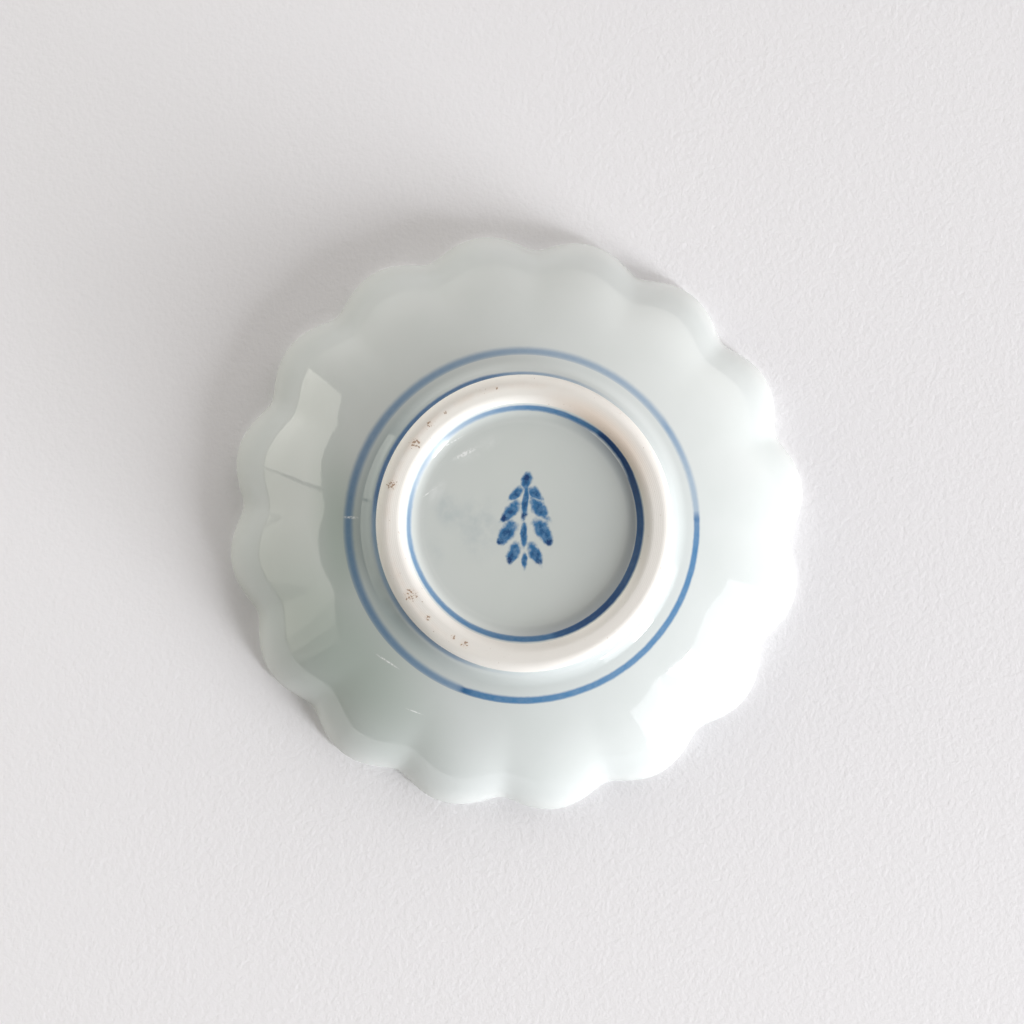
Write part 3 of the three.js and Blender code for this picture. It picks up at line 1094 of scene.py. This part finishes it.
def stage_sheet(name, inner, outer, height, facing, section, material):
    """A flat round sheet of the stage, open inside the dish's rim where it has an inner edge."""
    radii = [inner, inner + LOBED_EDGE, outer] if inner else [0, outer]
    mesh = spun_mesh([Vector((radius, height)) for radius in radii], False, section.size.lobes)
    for vert in mesh.verts:
        if math.hypot(vert.co.x, vert.co.y) < inner + LOBED_EDGE / 2:
            press(vert, section, section.lobe_end)
    for face in mesh.faces:
        if face.normal.z * facing < 0:
            face.normal_flip()
    sheet = placed(mesh, name)
    sheet.data.materials.append(material)
    sheet.visible_shadow = False
    return sheet


def photo_direction(angle):
    """The part's direction of an angle in the photograph, clockwise from its right."""
    radians = math.radians(angle)
    return PHOTO_RIGHT * math.cos(radians) + PHOTO_DOWN * math.sin(radians)


def upright_lamp(name, plane, turns, rises, brightness, tone):
    """A lit panel in a plane beside the table, between two angles in the photograph and two heights."""
    facing, distance = plane
    left, right = (distance * math.tan(math.radians(turn - facing)) for turn in turns)
    low, high = (distance * math.tan(math.radians(rise)) for rise in rises)
    away, aside = photo_direction(facing), photo_direction(facing + 90)
    middle = away * distance + aside * (left + right) / 2
    middle += PHOTO_AWAY * (sizes().height - (low + high) / 2)
    data = bpy.data.lights.new(name, "AREA")
    data.shape = "RECTANGLE"
    data.size = right - left
    data.size_y = high - low
    data.color = tone
    data.energy = brightness * math.pi * data.size * data.size_y
    lamp = bpy.data.objects.new(name, data)
    lamp.matrix_world = Matrix.Translation(middle) @ away.to_track_quat("Z", "Y").to_matrix().to_4x4()
    lamp.visible_camera = False
    bpy.context.scene.collection.objects.link(lamp)
    return lamp


class DISH_OT_stage(Operator):
    """Sets out the paper, the floor, the light and the camera"""

    bl_idname = "dish.stage"
    bl_label = "Stage"

    def execute(self, context):
        size = sizes()
        stage = stage_settings()
        section = DishSection(size)
        self.sheets(size, stage, section)
        self.lamps(stage)
        self.room(stage)
        self.camera(size, stage)
        context.scene.view_settings.view_transform = "Standard"
        return {"FINISHED"}

    def sheets(self, size, stage, section):
        def tooth(finish):
            return finish.bump(finish.cloud(0.9, 4, 0.65, 21), 0.22, 0.5)

        def paper_tone(finish):
            fleck = finish.cloud(0.7, 3, 0.6, 22)
            return finish.blend(fleck * 0.5, stage.paper, [0.93 * c for c in stage.paper])

        def far(finish):
            right, down, _ = finish.place()
            start, end = stage.floor_fade_start / MM, stage.floor_fade_end / MM
            return finish.ramp(finish.distance(right, down), start, end)

        paper = one_sided("paper", paper_tone, PAPER_ROUGHNESS, tooth)
        inner = size.rim_radius - size.wall_thickness / 2 - stage.paper_tuck
        stage_sheet("table", inner, stage.paper_reach, size.height, -1, section, paper)
        floor_finish = one_sided("floor", stage.floor, FLOOR_ROUGHNESS, None, far)
        floor = stage_sheet("floor", 0, stage.floor_reach, -stage.floor_gap, 1, section, floor_finish)
        floor.visible_diffuse = False
        floor.visible_glossy = False
        floor.visible_transmission = False

    def lamps(self, stage):
        for name, (turns, rises, brightness) in WINDOW_LAMPS.items():
            upright_lamp(name, WINDOW_PLANE, turns, rises, brightness * stage.window, stage.window_tone)
        for name, (turns, rises, brightness) in PANEL_LAMPS.items():
            upright_lamp(name, PANEL_PLANE, turns, rises, brightness * stage.panel, stage.panel_tone)
        data = bpy.data.lights.new("overhead", "AREA")
        data.size = stage.overhead_side
        data.energy = stage.overhead * math.pi * data.size**2
        lamp = bpy.data.objects.new("overhead", data)
        lamp.location = (0, 0, stage.overhead_height)
        lamp.visible_camera = False
        bpy.context.scene.collection.objects.link(lamp)

    def room(self, stage):
        world = bpy.data.worlds.new("room")
        bpy.context.scene.world = world
        world.cycles.sampling_method = "NONE"
        room = Finish(world)
        way = room.node("ShaderNodeTexCoord", output="Generated")

        # Plain light from above the upright dish, and glows on the side that the photograph was taken from
        strength = stage.room * room.ramp(room.dot(way, PHOTO_AWAY), -0.05, 0.1)
        for angle, rise, brightness in ROOM_GLOWS:
            flat = math.cos(math.radians(rise))
            towards = photo_direction(angle) * flat - PHOTO_AWAY * math.sin(math.radians(rise))
            glow = room.math("EXPONENT", (room.dot(way, towards) - 1) * GLOW_SHARPNESS)
            strength = strength + brightness * glow

        # The camera sees an even backdrop
        seen = room.node("ShaderNodeLightPath", output="Is Camera Ray")
        strength = strength * (1 - seen) + seen * stage.backdrop
        tone = room.blend(seen, stage.room_tone, (1, 1, 1))
        shader = room.node("ShaderNodeBackground", sockets={"Color": tone, "Strength": strength})
        room.node("ShaderNodeOutputWorld", sockets={"Surface": shader})

    def camera(self, size, stage):
        off_middle = RIM_IN_PICTURE - Vector((PICTURE_SIDE, PICTURE_SIDE)) / 2
        rim_in_view = off_middle / PICTURE_SIDE * stage.frame_width
        rim_middle = PHOTO_AWAY * size.height
        place = rim_middle - PHOTO_AWAY * stage.camera_distance - PHOTO_RIGHT * stage.camera_aside
        aim = rim_middle - PHOTO_RIGHT * rim_in_view.x - PHOTO_DOWN * rim_in_view.y
        back = (place - aim).normalized()
        right = (-PHOTO_DOWN).cross(back).normalized()
        up = back.cross(right)
        data = bpy.data.cameras.new("camera")
        data.sensor_width = stage.sensor_side
        data.lens = stage.sensor_side * (place - aim).length / stage.frame_width
        data.clip_start, data.clip_end = CAMERA_REACH
        camera = bpy.data.objects.new("camera", data)
        camera.matrix_world = Matrix.Translation(place) @ Matrix((right, up, back)).transposed().to_4x4()
        bpy.context.scene.collection.objects.link(camera)
        bpy.context.scene.camera = camera


class DISH_PT_panel(Panel):
    """Lists the steps that make the dish"""

    bl_idname = "DISH_PT_panel"
    bl_label = "Sauce dish"
    bl_space_type = "VIEW_3D"
    bl_region_type = "UI"
    bl_category = "Sauce dish"

    def draw(self, context):
        for operator in OPERATORS:
            self.layout.operator(operator.bl_idname)


OPERATORS = (DISH_OT_bowl, DISH_OT_foot_ring, DISH_OT_glaze, DISH_OT_lines, DISH_OT_stage)
CLASSES = (DishSizes, DishColours, StageSettings, *OPERATORS, DISH_PT_panel)


def register():
    for made in CLASSES:
        bpy.utils.register_class(made)
    bpy.types.Scene.dish_sizes = PointerProperty(type=DishSizes)
    bpy.types.Scene.dish_colours = PointerProperty(type=DishColours)
    bpy.types.Scene.dish_stage = PointerProperty(type=StageSettings)


def unregister():
    del bpy.types.Scene.dish_stage
    del bpy.types.Scene.dish_colours
    del bpy.types.Scene.dish_sizes
    for made in reversed(CLASSES):
        bpy.utils.unregister_class(made)


def main():
    register()
    bpy.ops.dish.bowl()
    bpy.ops.dish.foot_ring()
    bpy.ops.dish.glaze()
    bpy.ops.dish.lines()
    bpy.ops.dish.stage()


if __name__ == "__main__":
    main()
